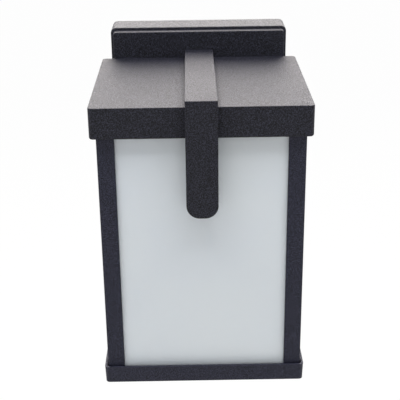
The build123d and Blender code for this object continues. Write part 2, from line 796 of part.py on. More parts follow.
# Lamp tip: the round contact at the end of the cap
with BuildPart() as lamp_contact:
    with BuildSketch(Plane.XY.offset(lamp_tip_z)):
        with Locations((0, -cage_middle)):
            Circle(lamp_tip_radius)
    extrude(amount=-lamp_tip_height)
lamp_contact.part.label = "lamp_contact"
export_step(lamp_contact.part, "parts/lamp_contact.step")

# Glass insulator between the tip and the cap
insulator_z = lamp_tip_z - lamp_tip_height - turning_gap
with BuildPart() as lamp_insulator:
    with Locations((0, -cage_middle, insulator_z)):
        Cone(
            insulator_radius,
            lamp_tip_radius,
            insulator_height,
            align=(Align.CENTER, Align.CENTER, Align.MAX),
        )
lamp_insulator.part.label = "lamp_insulator"
export_step(lamp_insulator.part, "parts/lamp_insulator.step")

# Lamp cap: a thin cup with a coned top that holds the insulator, open at the neck
cap_z = insulator_z - insulator_height
with BuildPart() as lamp_cap:
    with BuildSketch(Plane.XY.offset(cap_z)):
        with Locations((0, -cage_middle)):
            Circle(lamp_cap_radius)
    extrude(amount=-lamp_cap_length)
    chamfer(lamp_cap.edges().group_by(Axis.Z)[-1], lamp_cap_cone)
    with BuildSketch(Plane.XY.offset(cap_z - lamp_cap_cone)):
        with Locations((0, -cage_middle)):
            Circle(lamp_cap_radius - lamp_cap_wall)
    extrude(amount=-lamp_cap_length, mode=Mode.SUBTRACT)
lamp_cap.part.label = "lamp_cap"
export_step(lamp_cap.part, "parts/lamp_cap.step")

# Lamp globe: a blown glass envelope, its neck held inside the cap
neck_z = cap_z - lamp_cap_length + globe_neck_depth
globe_z = lamp_tip_z - lamp_length + globe_radius
neck_radius = lamp_cap_radius - lamp_cap_wall - cement_gap
with BuildPart() as lamp_globe:
    for inset, mode in ((0, Mode.ADD), (globe_wall, Mode.SUBTRACT)):
        with BuildSketch(Plane.XZ.offset(cage_middle)) as outline:
            with Locations((0, globe_z)):
                Circle(globe_radius - inset)
                Rectangle(2 * (neck_radius - inset), neck_z - globe_z, align=(Align.CENTER, Align.MIN))
            fillet(outline.vertices().group_by(Axis.Y)[-2], globe_blend + inset)
            split(bisect_by=Plane.YZ)
        revolve(axis=Axis((0, -cage_middle, 0), UP), mode=mode)
lamp_globe.part.label = "lamp_globe"
export_step(lamp_globe.part, "parts/lamp_globe.step")
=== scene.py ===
"""Outdoor wall lantern: finishes, threads and drive recesses over the CAD frame, and its studio."""

import logging
import math
from abc import ABC, abstractmethod
from dataclasses import dataclass, field, replace
from enum import Enum
from typing import Any, Iterable, Optional

import bmesh
import bpy
from mathutils import Matrix, Vector


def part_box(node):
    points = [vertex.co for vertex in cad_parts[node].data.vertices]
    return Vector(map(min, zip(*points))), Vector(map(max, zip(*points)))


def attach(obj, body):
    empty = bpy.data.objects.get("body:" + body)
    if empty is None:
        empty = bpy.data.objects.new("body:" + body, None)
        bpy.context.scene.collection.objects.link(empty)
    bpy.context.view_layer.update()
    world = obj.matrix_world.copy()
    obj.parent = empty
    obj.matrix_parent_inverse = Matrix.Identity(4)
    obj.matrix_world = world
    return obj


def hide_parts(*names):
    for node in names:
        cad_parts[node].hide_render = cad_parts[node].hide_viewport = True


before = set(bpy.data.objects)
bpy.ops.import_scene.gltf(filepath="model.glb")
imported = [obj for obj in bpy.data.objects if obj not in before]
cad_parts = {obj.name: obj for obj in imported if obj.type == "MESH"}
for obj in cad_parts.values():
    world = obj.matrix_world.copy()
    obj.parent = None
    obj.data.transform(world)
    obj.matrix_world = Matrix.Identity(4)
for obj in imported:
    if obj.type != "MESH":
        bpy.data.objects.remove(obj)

LOG = logging.getLogger("lantern")
MM = 0.001
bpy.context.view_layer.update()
# Points closer together than this count as one.
WELD = 0.002 * MM
FULL_TURN = 2.0 * math.pi
# Turn of a coat's grain about X, Y and Z, in radians. It keeps flat faces from lying along the cells of the
# noise, where the grain would vanish.
GRAIN_TURN = (0.5, 0.8, 0.3)
# Most values of a noise pattern lie between these two.
NOISE_SPAN = (0.3, 0.7)
# A face looks up if the Z of its normal is more than this.
LOOKS_UP = 0.9
# Depth of a rolled thread, as a share of its pitch.
THREAD_DEPTH = 0.55

Colour = tuple[float, float, float, float]
Profile = list[tuple[float, float]]


def srgb(code: str) -> Colour:
    """Turns a hex colour, as seen on a screen, into the linear colour that a shader takes.

    Args:
        code: Six hex digits, red first.

    Returns:
        Linear red, green, blue and a full alpha.
    """
    levels = [int(code[at:at + 2], 16) / 255.0 for at in (0, 2, 4)]
    linear = [v / 12.92 if v <= 0.04045 else ((v + 0.055) / 1.055) ** 2.4 for v in levels]
    return (linear[0], linear[1], linear[2], 1.0)


def add_node(
    tree: bpy.types.NodeTree,
    kind: str,
    settings: Optional[dict[str, Any]] = None,
    inputs: Optional[dict[Any, Any]] = None,
) -> bpy.types.Node:
    """Adds one shader node, sets it up and links it.

    Args:
        tree: Node tree that takes the node.
        kind: Blender's name of the node type.
        settings: Attributes of the node and their values.
        inputs: For an input's name or number, the socket it is fed from or the value it holds.

    Returns:
        The new node.
    """
    node = tree.nodes.new(kind)
    for name, value in (settings or {}).items():
        setattr(node, name, value)
    for name, value in (inputs or {}).items():
        if isinstance(value, bpy.types.NodeSocket):
            tree.links.new(value, node.inputs[name])
        else:
            node.inputs[name].default_value = value
    return node


def per_mm(size_mm: float) -> float:
    """Texture scale that makes one cell of a pattern this many millimetres wide."""
    return 1.0 / (size_mm * MM)


class Finish(ABC):
    """A surface finish that makes one procedural material."""

    name: str

    def material(self) -> bpy.types.Material:
        """Gives the material, made the first time it is asked for.

        Returns:
            The material of this finish.
        """
        made = bpy.data.materials.get(self.name)
        if made is None:
            made = bpy.data.materials.new(self.name)
            made.use_nodes = True
            made.node_tree.nodes.clear()
            shader = self.shade(made.node_tree)
            add_node(made.node_tree, "ShaderNodeOutputMaterial", inputs={"Surface": shader})
        return made

    @abstractmethod
    def shade(self, tree: bpy.types.NodeTree) -> bpy.types.NodeSocket:
        """Builds the nodes of the finish.

        Args:
            tree: Empty node tree of the material.

        Returns:
            The shader socket for the material's surface.
        """


@dataclass(frozen=True)
class PowderCoat(Finish):
    """Sand-textured powder coat: fine pimples over a slow waviness, glossier on them and painted lighter as
    glints.
    """

    name: str
    grain_shade_hex: str
    grain_glint_hex: str
    grain_mm: float
    relief_mm: float
    wave_mm: float
    roughness: tuple[float, float]
    tint_span: tuple[float, float] = (0.42, 0.70)
    grain_contrast: float = 0.55
    wave_strength: float = 0.5
    grain_strength: float = 1.0
    specular: float = 0.2

    def shade(self, tree: bpy.types.NodeTree) -> bpy.types.NodeSocket:
        """Builds the nodes of the coat.

        Args:
            tree: Empty node tree of the material.

        Returns:
            The shader socket for the material's surface.
        """
        place = add_node(tree, "ShaderNodeTexCoord").outputs["Object"]
        turned = add_node(tree, "ShaderNodeMapping", inputs={"Vector": place, "Rotation": GRAIN_TURN})
        grain = add_node(tree, "ShaderNodeTexNoise", inputs={
            "Vector": turned.outputs["Vector"], "Scale": per_mm(self.grain_mm), "Detail": 2.0,
            "Roughness": self.grain_contrast})
        wave = add_node(tree, "ShaderNodeTexNoise", inputs={
            "Vector": place, "Scale": per_mm(self.wave_mm), "Detail": 1.0})
        # Painted glints and shade: the noise that raises the pimples tints them lighter and the hollows
        # between them darker.
        tint = add_node(tree, "ShaderNodeValToRGB", inputs={"Fac": grain.outputs["Fac"]})
        tint.color_ramp.elements[0].position = self.tint_span[0]
        tint.color_ramp.elements[0].color = srgb(self.grain_shade_hex)
        tint.color_ramp.elements[1].position = self.tint_span[1]
        tint.color_ramp.elements[1].color = srgb(self.grain_glint_hex)
        slow = add_node(tree, "ShaderNodeBump", inputs={
            "Height": wave.outputs["Fac"], "Strength": self.wave_strength, "Distance": self.relief_mm * MM})
        fine = add_node(tree, "ShaderNodeBump", inputs={
            "Height": grain.outputs["Fac"], "Strength": self.grain_strength, "Distance": self.relief_mm * MM,
            "Normal": slow.outputs["Normal"]})
        gloss = add_node(tree, "ShaderNodeMapRange", inputs={
            "Value": grain.outputs["Fac"], "From Min": NOISE_SPAN[0], "From Max": NOISE_SPAN[1],
            "To Min": self.roughness[1], "To Max": self.roughness[0]})
        shader = add_node(tree, "ShaderNodeBsdfPrincipled", inputs={
            "Base Color": tint.outputs["Color"], "Roughness": gloss.outputs["Result"],
            "Specular IOR Level": self.specular, "Normal": fine.outputs["Normal"]})
        return shader.outputs["BSDF"]


@dataclass(frozen=True)
class EtchedGlass(Finish):
    """Etched or coated glass: white, with light that spreads inside it and a trace of cloud."""

    name: str
    clear_hex: str
    cloud_hex: str
    cloud_mm: float
    etch_mm: float
    roughness: float
    transmission: float
    scatter_mm: float
    specular: float
    etch_depth_mm: float = 0.02
    etch_strength: float = 0.15
    ior: float = 1.52

    def shade(self, tree: bpy.types.NodeTree) -> bpy.types.NodeSocket:
        """Builds the nodes of the glass.

        Args:
            tree: Empty node tree of the material.

        Returns:
            The shader socket for the material's surface.
        """
        place = add_node(tree, "ShaderNodeTexCoord").outputs["Object"]
        cloud = add_node(tree, "ShaderNodeTexNoise", inputs={
            "Vector": place, "Scale": per_mm(self.cloud_mm), "Detail": 3.0})
        etch = add_node(tree, "ShaderNodeTexNoise", inputs={
            "Vector": place, "Scale": per_mm(self.etch_mm), "Detail": 1.0})
        tint = add_node(tree, "ShaderNodeValToRGB", inputs={"Fac": cloud.outputs["Fac"]})
        tint.color_ramp.elements[0].position = NOISE_SPAN[0]
        tint.color_ramp.elements[0].color = srgb(self.cloud_hex)
        tint.color_ramp.elements[1].position = NOISE_SPAN[1]
        tint.color_ramp.elements[1].color = srgb(self.clear_hex)
        bump = add_node(tree, "ShaderNodeBump", inputs={
            "Height": etch.outputs["Fac"], "Strength": self.etch_strength,
            "Distance": self.etch_depth_mm * MM})
        shader = add_node(tree, "ShaderNodeBsdfPrincipled", inputs={
            "Base Color": tint.outputs["Color"], "Roughness": self.roughness,
            "Specular IOR Level": self.specular, "Transmission Weight": self.transmission,
            "IOR": self.ior, "Normal": bump.outputs["Normal"],
            "Subsurface Weight": 1.0, "Subsurface Radius": (1.0, 1.0, 1.0),
            "Subsurface Scale": self.scatter_mm * MM})
        return shader.outputs["BSDF"]


class Lay(Enum):
    """How the marks of making lie on a metal skin, as the pattern's scale along X, Y and Z."""

    PLATED = (1.0, 1.0, 1.0)
    DRAWN_UP = (1.0, 1.0, 0.06)
    ROLLED_ACROSS = (0.05, 1.0, 1.0)


@dataclass(frozen=True)
class MetalSkin(Finish):
    """Bare, plated or blackened metal with the faint marks of its making."""

    name: str
    light_hex: str
    dark_hex: str
    mark_mm: float
    roughness: tuple[float, float]
    lay: Lay = Lay.PLATED
    mark_depth_mm: float = 0.05
    mark_strength: float = 0.12

    def shade(self, tree: bpy.types.NodeTree) -> bpy.types.NodeSocket:
        """Builds the nodes of the metal.

        Args:
            tree: Empty node tree of the material.

        Returns:
            The shader socket for the material's surface.
        """
        place = add_node(tree, "ShaderNodeTexCoord").outputs["Object"]
        laid = add_node(tree, "ShaderNodeMapping", inputs={"Vector": place, "Scale": self.lay.value})
        marks = add_node(tree, "ShaderNodeTexNoise", inputs={
            "Vector": laid.outputs["Vector"], "Scale": per_mm(self.mark_mm), "Detail": 4.0})
        tint = add_node(tree, "ShaderNodeValToRGB", inputs={"Fac": marks.outputs["Fac"]})
        tint.color_ramp.elements[0].position = NOISE_SPAN[0]
        tint.color_ramp.elements[0].color = srgb(self.dark_hex)
        tint.color_ramp.elements[1].position = NOISE_SPAN[1]
        tint.color_ramp.elements[1].color = srgb(self.light_hex)
        rough = add_node(tree, "ShaderNodeMapRange", inputs={
            "Value": marks.outputs["Fac"], "To Min": self.roughness[0], "To Max": self.roughness[1]})
        bump = add_node(tree, "ShaderNodeBump", inputs={
            "Height": marks.outputs["Fac"], "Strength": self.mark_strength,
            "Distance": self.mark_depth_mm * MM})
        shader = add_node(tree, "ShaderNodeBsdfPrincipled", inputs={
            "Base Color": tint.outputs["Color"], "Metallic": 1.0, "Roughness": rough.outputs["Result"],
            "Normal": bump.outputs["Normal"]})
        return shader.outputs["BSDF"]


@dataclass(frozen=True)
class FoamStrip(Finish):
    """Closed-cell foam: matt, with small cells cut open on its faces, painted darker in their pits as shade.
    """

    name: str
    skin_hex: str
    cell_shade_hex: str
    cell_mm: float
    depth_mm: float
    cell_reach: float = 0.6
    cell_strength: float = 0.6
    roughness: float = 0.92
    specular: float = 0.3

    def shade(self, tree: bpy.types.NodeTree) -> bpy.types.NodeSocket:
        """Builds the nodes of the foam.

        Args:
            tree: Empty node tree of the material.

        Returns:
            The shader socket for the material's surface.
        """
        place = add_node(tree, "ShaderNodeTexCoord").outputs["Object"]
        cells = add_node(tree, "ShaderNodeTexVoronoi", inputs={
            "Vector": place, "Scale": per_mm(self.cell_mm)})
        # Painted shade: the colour darkens towards the middle of each cell, where the bump sinks a pit.
        tint = add_node(tree, "ShaderNodeValToRGB", inputs={"Fac": cells.outputs["Distance"]})
        tint.color_ramp.elements[0].color = srgb(self.cell_shade_hex)
        tint.color_ramp.elements[1].position = self.cell_reach
        tint.color_ramp.elements[1].color = srgb(self.skin_hex)
        bump = add_node(tree, "ShaderNodeBump", inputs={
            "Height": cells.outputs["Distance"], "Strength": self.cell_strength,
            "Distance": self.depth_mm * MM})
        shader = add_node(tree, "ShaderNodeBsdfPrincipled", inputs={
            "Base Color": tint.outputs["Color"], "Roughness": self.roughness,
            "Specular IOR Level": self.specular, "Normal": bump.outputs["Normal"]})
        return shader.outputs["BSDF"]


@dataclass(frozen=True)
class FiredGlaze(Finish):
    """Glassy fired surface: a glaze over ceramic, or a solid bead of coloured glass."""

    name: str
    glaze_hex: str
    speck_hex: str
    speck_mm: float
    roughness: float
    speck_span: tuple[float, float] = (0.28, 0.42)
    relief_mm: float = 0.1
    relief_strength: float = 0.08
    coat: float = 0.5
    coat_roughness: float = 0.06

    def shade(self, tree: bpy.types.NodeTree) -> bpy.types.NodeSocket:
        """Builds the nodes of the glaze.

        Args:
            tree: Empty node tree of the material.

        Returns:
            The shader socket for the material's surface.
        """
        place = add_node(tree, "ShaderNodeTexCoord").outputs["Object"]
        specks = add_node(tree, "ShaderNodeTexNoise", inputs={
            "Vector": place, "Scale": per_mm(self.speck_mm), "Detail": 3.0})
        tint = add_node(tree, "ShaderNodeValToRGB", inputs={"Fac": specks.outputs["Fac"]})
        tint.color_ramp.elements[0].position = self.speck_span[0]
        tint.color_ramp.elements[0].color = srgb(self.speck_hex)
        tint.color_ramp.elements[1].position = self.speck_span[1]
        tint.color_ramp.elements[1].color = srgb(self.glaze_hex)
        bump = add_node(tree, "ShaderNodeBump", inputs={
            "Height": specks.outputs["Fac"], "Strength": self.relief_strength,
            "Distance": self.relief_mm * MM})
        shader = add_node(tree, "ShaderNodeBsdfPrincipled", inputs={
            "Base Color": tint.outputs["Color"], "Roughness": self.roughness, "Coat Weight": self.coat,
            "Coat Roughness": self.coat_roughness, "Normal": bump.outputs["Normal"]})
        return shader.outputs["BSDF"]


# Polyester powder sprayed on die-cast aluminium and baked: a dull black skin whose pimples break the light
# into grain. The real pimples, about 0.4 mm apart, are too fine to show, so they are drawn at 0.72 mm.
# Its lighter pimples are painted glints and its darker hollows painted shade, here and in the coats below.
CAST_COAT = PowderCoat("Sand-texture powder coat on cast aluminium", "030306", "3B3B48", 0.72, 0.55, 3.0,
                       (0.38, 0.62))
# The same powder sprayed thinly on the tray, where it flows out to an even dark grey.
RIM_COAT = PowderCoat("Fine powder coat on cast aluminium", "090A11", "46465A", 0.45, 0.26, 4.0,
                      (0.38, 0.62))
# The same thin coat on folded steel sheet: even, dark grey and a little blue.
SHEET_COAT = replace(RIM_COAT, name="Fine powder coat on folded steel")
# Float glass etched in acid on its outer face: a cool white that hides the lamp and takes the light softly.
# The rough face mirrors little, even at a low angle.
ETCHED_PANE = EtchedGlass("Acid-etched float glass", "EFF4FF", "ECF1FD", 90.0, 0.9, 0.8, 0.05, 3.0, 0.1)
# Lamp bulb blown in a mould and coated white inside: milky under a glossy skin.
BULB_GLASS = EtchedGlass("Blown bulb glass, white inside", "F2F2EE", "ECECE8", 18.0, 0.8, 0.22, 0.25, 0.5,
                         0.5)
# Cold-rolled steel, zinc plated bright after forming: a light grey with soft, cloudy reflections.
ZINC = MetalSkin("Bright zinc plate on steel", "C3C6CA", "A9ADB2", 2.5, (0.24, 0.36))
# Strip steel hardened as a spring and left with its rolled finish: warm grey, streaked along the strip.
SPRING = MetalSkin("Rolled spring steel strip", "A6A39C", "86847F", 0.8, (0.28, 0.42), Lay.ROLLED_ACROSS)
# Steel machined and blackened in a hot oxide bath: near black, with a dull metal sheen.
BLACK_OXIDE = MetalSkin("Black oxide on turned steel", "3A3A3E", "26262A", 1.2, (0.34, 0.5))
# Steel screw with a green dyed zinc plate, which marks the earth terminal: a clear green metal.
GREEN_ZINC = MetalSkin("Green dyed zinc plate on steel", "3E8A4E", "2E6E3D", 1.5, (0.26, 0.38))
# Aluminium sheet deep drawn and rolled into a thread: bright, with fine lines along the draw.
DRAWN_ALUMINIUM = MetalSkin("Deep-drawn aluminium", "D2D3D5", "B9BBBE", 0.9, (0.26, 0.38), Lay.DRAWN_UP)
# Brass strip, stamped: yellow and bright.
BRASS = MetalSkin("Stamped brass strip", "D4B068", "B48F4A", 1.4, (0.22, 0.34))
# Foam strip cut from sheet, with adhesive on one side: matt black, pitted by open cells with painted shade
# in them.
FOAM = FoamStrip("Closed-cell foam strip", "2B2B2C", "151516", 0.9, 0.15)
# Steatite pressed, glazed white and fired: a warm white with sharp highlights.
PORCELAIN = FiredGlaze("White glazed steatite", "F0EEE6", "D9D4C6", 1.6, 0.16)
# Black glass melted into the end of the lamp's cap: deep black and glossy.
VITRITE = FiredGlaze("Black fused glass", "101013", "232329", 1.0, 0.14)


@dataclass(frozen=True)
class Seat:
    """Where one turned solid of a CAD node lies: its axis, its ends and its widest radius, in metres."""

    top: Vector
    facing: Vector
    length: float
    radius: float

    def stand(self) -> Matrix:
        """Matrix that takes a piece drawn upright, with its highest point at the origin, to the seat."""
        return Matrix.Translation(self.top) @ self.facing.to_track_quat("Z", "Y").to_matrix().to_4x4()


def loose_solids(node: str) -> list[list[Vector]]:
    """Splits a CAD node into the solids it is made of.

    Args:
        node: Name of the CAD node.

    Returns:
        The corner points of each solid, in metres.
    """
    bm = bmesh.new()
    bm.from_mesh(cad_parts[node].data)
    bmesh.ops.remove_doubles(bm, verts=bm.verts[:], dist=WELD)
    waiting = dict.fromkeys(bm.verts)
    found: list[list[Vector]] = []
    while waiting:
        stack = [waiting.popitem()[0]]
        points: list[Vector] = []
        while stack:
            vert = stack.pop()
            points.append(vert.co.copy())
            for edge in vert.link_edges:
                other = edge.other_vert(vert)
                if other in waiting:
                    del waiting[other]
                    stack.append(other)
        found.append(points)
    bm.free()
    return sorted(found, key=lambda solid: tuple(min(solid, key=lambda p: p[:])))


def end_radius(points: list[Vector], middle: Vector, along: int, end: float) -> float:
    """Measures how wide a turned solid is at one of its ends.

    Args:
        points: Corner points of the solid, in metres.
        middle: A point on its axis.
        along: Number of its axis.
        end: Place of the end on the axis.

    Returns:
        The widest radius there.
    """
    across = [i for i in range(3) if i != along]
    at_end = [p for p in points if abs(p[along] - end) < WELD]
    return max(math.hypot(*(p[i] - middle[i] for i in across)) for p in at_end)


def seats(node: str, axis: Optional[int] = None) -> list[Seat]:
    """Finds the seats of the turned solids in a CAD node, each facing towards its wider end.

    Args:
        node: Name of the CAD node.
        axis: Number of the turning axis, or None to take each solid's longest side.

    Returns:
        One seat for each solid.
    """
    found: list[Seat] = []
    for points in loose_solids(node):
        low = Vector([min(p[i] for p in points) for i in range(3)])
        high = Vector([max(p[i] for p in points) for i in range(3)])
        size = high - low
        along = axis if axis is not None else max(range(3), key=lambda i: size[i])
        middle = (low + high) / 2.0
        wide_up = end_radius(points, middle, along, high[along])
        wide_down = end_radius(points, middle, along, low[along])
        facing = Vector((0.0, 0.0, 0.0))
        facing[along] = 1.0 if wide_up >= wide_down else -1.0
        radius = max(size[i] for i in range(3) if i != along) / 2.0
        found.append(Seat(middle + facing * size[along] / 2.0, facing, size[along], radius))
    return found


def lathe(bm: bmesh.types.BMesh, profile: Profile, steps: int = 48) -> None:
    """Turns a profile once round Z, and closes it where it meets the axis.

    Args:
        bm: Mesh that takes the new faces.
        profile: Radius and height of each point, in metres, from the bottom up along the outside.
        steps: Number of sides of the turned form.
    """
    before = set(bm.verts)
    line = [bm.verts.new((radius, 0.0, height)) for radius, height in profile]
    edges = [bm.edges.new(pair) for pair in zip(line, line[1:])]
    bmesh.ops.spin(bm, geom=line + edges, axis=(0, 0, 1), cent=(0, 0, 0), angle=FULL_TURN, steps=steps,
                   use_merge=True)
    made = [v for v in bm.verts if v not in before]
    bmesh.ops.remove_doubles(bm, verts=made, dist=WELD)


def coil(
    bm: bmesh.types.BMesh,
    crest: float,
    root: float,
    pitch: float,
    low: float,
    high: float,
    steps: int = 28,
    rounding: int = 2,
    bore: float = 0.0,
) -> None:
    """Winds a right-hand thread round Z as one closed ribbed rod, or as a tube if it has a bore.

    Args:
        bm: Mesh that takes the new faces.
        crest: Radius over the thread, in metres.
        root: Radius at the bottom of the thread, in metres.
        pitch: Rise of one turn, in metres.
        low: Height of the lower end, in metres.
        high: Height of the upper end, in metres.
        steps: Number of sides of each turn.
        rounding: Number of parts in each flank, 1 for a sharp thread.
        bore: Radius of the hole through it, in metres, or 0 for a rod.
    """
    turns = max(1, int((high - low) / pitch) - 1)
    before = set(bm.verts)
    parts = 2 * rounding
    line = []
    for at in range(parts + 1):
        depth = (1.0 - math.cos(FULL_TURN * at / parts)) / 2.0
        line.append(bm.verts.new((root + (crest - root) * depth, 0.0, low + pitch * at / parts)))
    edges = [bm.edges.new(pair) for pair in zip(line, line[1:])]
    bmesh.ops.spin(bm, geom=line + edges, axis=(0, 0, 1), cent=(0, 0, 0), dvec=(0, 0, pitch / steps),
                   angle=FULL_TURN * turns, steps=steps * turns)
    made = [v for v in bm.verts if v not in before]
    bmesh.ops.remove_doubles(bm, verts=made, dist=WELD)
    if bore:
        lathe(bm, [(bore, low), (bore, low + pitch * (turns + 1))], steps)
    rims = [e for e in bm.edges if e.is_boundary and e.verts[0] not in before]
    if not bore:
        bmesh.ops.holes_fill(bm, edges=rims, sides=0)
        return
    middle = low + pitch * (turns + 1) / 2.0
    for upper in (False, True):
        ring = [e for e in rims if (e.verts[0].co.z > middle) is upper]
        bmesh.ops.bridge_loops(bm, edges=ring)


class Drive(Enum):
    """Shape that a driver fits in a screw's head."""

    CROSS = "cross"
    SLOT = "slot"


def cut_drive(
    bm: bmesh.types.BMesh,
    cap: bmesh.types.BMFace,
    drive: Drive,
    reach: float,
    width: float,
    depth: float,
    lean: float = 0.3,
) -> None:
    """Sinks a drive recess into a flat face that looks up.

    Args:
        bm: Mesh that holds the face.
        cap: The flat round face.
        drive: Shape of the recess.
        reach: Half length of an arm of the recess, in metres.
        width: Half width of an arm, in metres.
        depth: Depth of the recess, in metres.
        lean: How far its walls lean in, as a share of the half width.
    """
    height = cap.calc_center_median().z
    for offset in (-reach, -width, width, reach):
        for normal in ((1, 0, 0), (0, 1, 0)):
            flat = [f for f in bm.faces
                    if abs(f.calc_center_median().z - height) < WELD and f.normal.z > LOOKS_UP]
            edges = list({e for f in flat for e in f.edges})
            verts = list({v for f in flat for v in f.verts})
            bmesh.ops.bisect_plane(bm, geom=flat + edges + verts, dist=WELD,
                                   plane_co=Vector(normal) * offset, plane_no=normal)
    sunk = []
    for face in bm.faces:
        at = face.calc_center_median()
        if abs(at.z - height) > WELD or face.normal.z < LOOKS_UP:
            continue
        along_x = abs(at.x) < reach and abs(at.y) < width
        along_y = abs(at.y) < reach and abs(at.x) < width
        if along_x or (drive is Drive.CROSS and along_y):
            sunk.append(face)
    bmesh.ops.inset_region(bm, faces=sunk, thickness=width * lean, depth=-depth, use_even_offset=True)


@dataclass(frozen=True)
class Screw:
    """A pan-head machine screw with a rolled thread.

    The shares are of the head: its flat top, its dome and the broken edge at its foot, then the reach,
    the width and the depth of the recess.
    """

    head_height_mm: float
    shank_mm: float
    pitch_mm: float
    drive: Drive
    flat_share: float = 0.66
    dome_share: float = 0.6
    dome_deg: tuple[int, ...] = (0, 22, 45, 68, 90)
    foot_shares: tuple[float, float] = (0.97, 0.94)
    reach_share: float = 0.8
    width_share: float = 0.16
    depth_share: float = 0.5

    def draw(self, bm: bmesh.types.BMesh, seat: Seat) -> None:
        """Adds one screw to a mesh.

        Args:
            bm: Mesh that takes the screw.
            seat: The CAD screw it stands for.
        """
        one = bmesh.new()
        head = self.head_height_mm * MM
        shank = self.shank_mm / 2.0 * MM
        pitch = self.pitch_mm * MM
        root = shank - THREAD_DEPTH * pitch
        flat = seat.radius * self.flat_share
        foot = [(0.0, -head), (seat.radius * self.foot_shares[0], -head),
                (seat.radius, -head * self.foot_shares[1])]
        dome = []
        for angle in map(math.radians, self.dome_deg):
            dome.append((flat + (seat.radius - flat) * math.cos(angle),
                         (math.sin(angle) - 1.0) * head * self.dome_share))
        lathe(one, foot + dome)
        rim = [e for e in one.edges if e.is_boundary]
        cap = bmesh.ops.holes_fill(one, edges=rim, sides=0)["faces"][0]
        bmesh.ops.recalc_face_normals(one, faces=one.faces[:])
        cut_drive(one, cap, self.drive, flat * self.reach_share, flat * self.width_share,
                  head * self.depth_share)
        coil(one, shank, root, pitch, -seat.length, -head + pitch, steps=20, rounding=1)
        merge(bm, one, seat.stand())


def merge(bm: bmesh.types.BMesh, part: bmesh.types.BMesh, place: Matrix) -> None:
    """Puts one mesh into another and frees it.

    Args:
        bm: Mesh that grows.
        part: Mesh that is put in.
        place: Where it goes.
    """
    bmesh.ops.transform(part, matrix=place, verts=part.verts[:])
    held = bpy.data.meshes.new("held")
    part.to_mesh(held)
    part.free()
    bm.from_mesh(held)
    bpy.data.meshes.remove(held)


@dataclass
class Piece:
    """A mesh drawn here in place of a CAD node, or beside it."""

    name: str
    slot: str
    body: str
    finish: Finish
    stands_for: tuple[str, ...] = ()
    smooth_deg: float = 35.0

    def make(self, bm: bmesh.types.BMesh) -> None:
        """Turns a drawn mesh into an object of the lantern and frees the mesh.

        Args:
            bm: The mesh, with its place in its vertices.
        """
        bmesh.ops.recalc_face_normals(bm, faces=bm.faces[:])
        limit = math.radians(self.smooth_deg)
        for face in bm.faces:
            face.smooth = True
        for edge in bm.edges:
            edge.smooth = len(edge.link_faces) == 2 and edge.calc_face_angle(0.0) < limit
        mesh = bpy.data.meshes.new(self.name)
        bm.to_mesh(mesh)
        bm.free()
        mesh.materials.append(self.finish.material())
        made = bpy.data.objects.new(self.name, mesh)
        bpy.context.scene.collection.objects.link(made)
        if self.stands_for:
            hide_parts(*self.stands_for)
        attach(made, self.body)
        LOG.info("%s: %d faces", self.name, len(mesh.polygons))


def dress(finish: Finish, nodes: Iterable[str]) -> None:
    """Gives CAD nodes a finish.

    Args:
        finish: The finish.
        nodes: Names of the CAD nodes.
    """
    for name in nodes:
        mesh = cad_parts[name].data
        mesh.materials.clear()
        mesh.materials.append(finish.material())
        LOG.info("%s: %s", name, finish.name)


def draw_screws(
    node: str,
    screw: Screw,
    ending: str = "cross",
    slot: str = "zinc_steel",
    finish: Finish = ZINC,
    axis: Optional[int] = None,
) -> None:
    """Draws a threaded screw in place of each plain one of a CAD node.

    Args:
        node: Name of the CAD node.
        screw: The screw to draw.
        ending: Last word of the new piece's name.
        slot: Material slot of the screws, which is not used.
        finish: Their finish.
        axis: Number of their axis, or None to take each screw's longest side.
    """
    bm = bmesh.new()
    for seat in seats(node, axis):
        screw.draw(bm, seat)
    Piece(f"{node}_{ending}", slot, "fixture", finish, (node,)).make(bm)


# The four-millimetre screw that holds most of the lantern together.
PAN_HEAD = Screw(2.2, 4.0, 0.7, Drive.CROSS)


@dataclass
class Canopy:
    """Wall canopy with its seal, crossbar and side screws."""

    screw: Screw = PAN_HEAD
    earth: Screw = Screw(2.2, 4.0, 0.7, Drive.SLOT)

    def build(self) -> None:
        """Draws the side screws and the earth screw."""
        draw_screws("canopy_screws", self.screw, slot="black_hardware", finish=BLACK_OXIDE)
        draw_screws("ground_screw", self.earth, "slotted", "green_steel", GREEN_ZINC, axis=1)

    def dress(self) -> None:
        """Finishes the canopy, its seal and its bar."""
        dress(CAST_COAT, ["backplate"])
        dress(FOAM, ["wall_gasket"])
        dress(ZINC, ["mounting_crossbar"])


